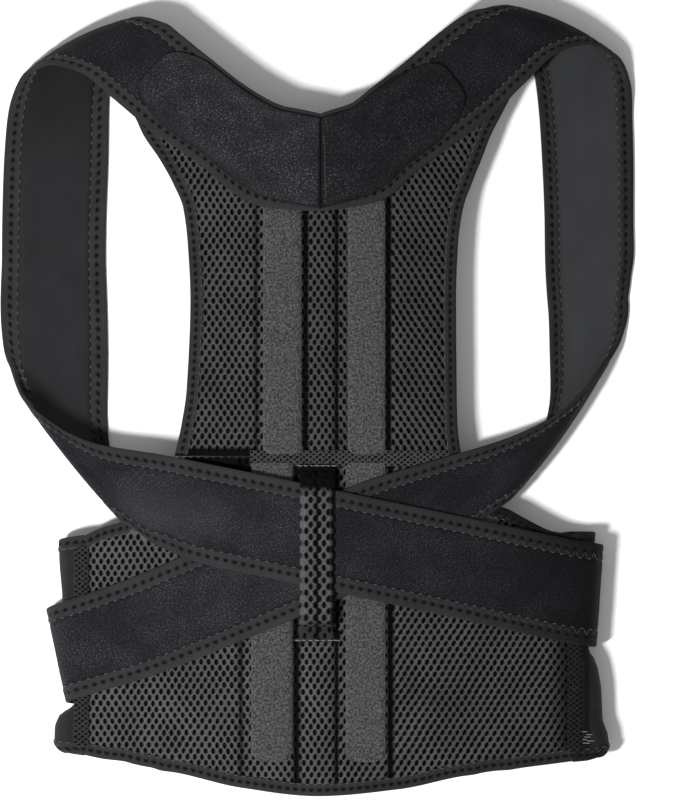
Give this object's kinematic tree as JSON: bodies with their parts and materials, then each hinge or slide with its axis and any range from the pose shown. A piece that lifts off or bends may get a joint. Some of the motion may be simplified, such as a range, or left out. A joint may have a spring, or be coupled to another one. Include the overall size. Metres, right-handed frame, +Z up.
{
  "type": "posture corrector",
  "caption": "Black back brace lying on its front: mesh back and waist panels, padded straps crossed under a keeper and wrapped round an elastic belt.",
  "frame": {"origin": "centre of the brace's bounding box, on the surface that it lies on", "axes": "+Y from the hem to the neck, +Z up from the surface to the brace's outer back side, +X to the wearer's right side as drawn from above"},
  "size_m": [0.3806, 0.4746, 0.0342],
  "materials": {
    "spacer_mesh": "black spacer mesh with small oval holes",
    "edge_tape": "black stretch binding tape with flat stitches",
    "pocket_weave": "dark grey twill weave",
    "strap_cloth": "blue-black brushed loop cloth over foam, smooth dark grey lining",
    "loop_pile": "charcoal brushed loop pile",
    "elastic": "dark ribbed elastic",
    "hook_pile": "black hook tape"
  },
  "bodies": {
    "root": {"upper_panel": "spacer_mesh", "lumbar_panel": "spacer_mesh", "strap_keeper": "spacer_mesh", "armhole_binding_left": "edge_tape", "armhole_binding_right": "edge_tape", "hem_binding": "edge_tape", "waist_binding_left": "edge_tape", "waist_binding_right": "edge_tape", "strap_tape_left_inner": "edge_tape", "strap_tape_left_outer": "edge_tape", "strap_tape_right_inner": "edge_tape", "strap_tape_right_outer": "edge_tape", "upper_pocket_left": "pocket_weave", "upper_pocket_right": "pocket_weave", "lower_pocket_left": "pocket_weave", "lower_pocket_right": "pocket_weave", "shoulder_strap_left": "strap_cloth", "shoulder_strap_right": "strap_cloth", "yoke_tab_left": "loop_pile", "yoke_tab_right": "loop_pile", "side_wing_left": "elastic", "side_wing_right": "elastic", "hook_patch": "hook_pile"}
  },
  "joints": []
}
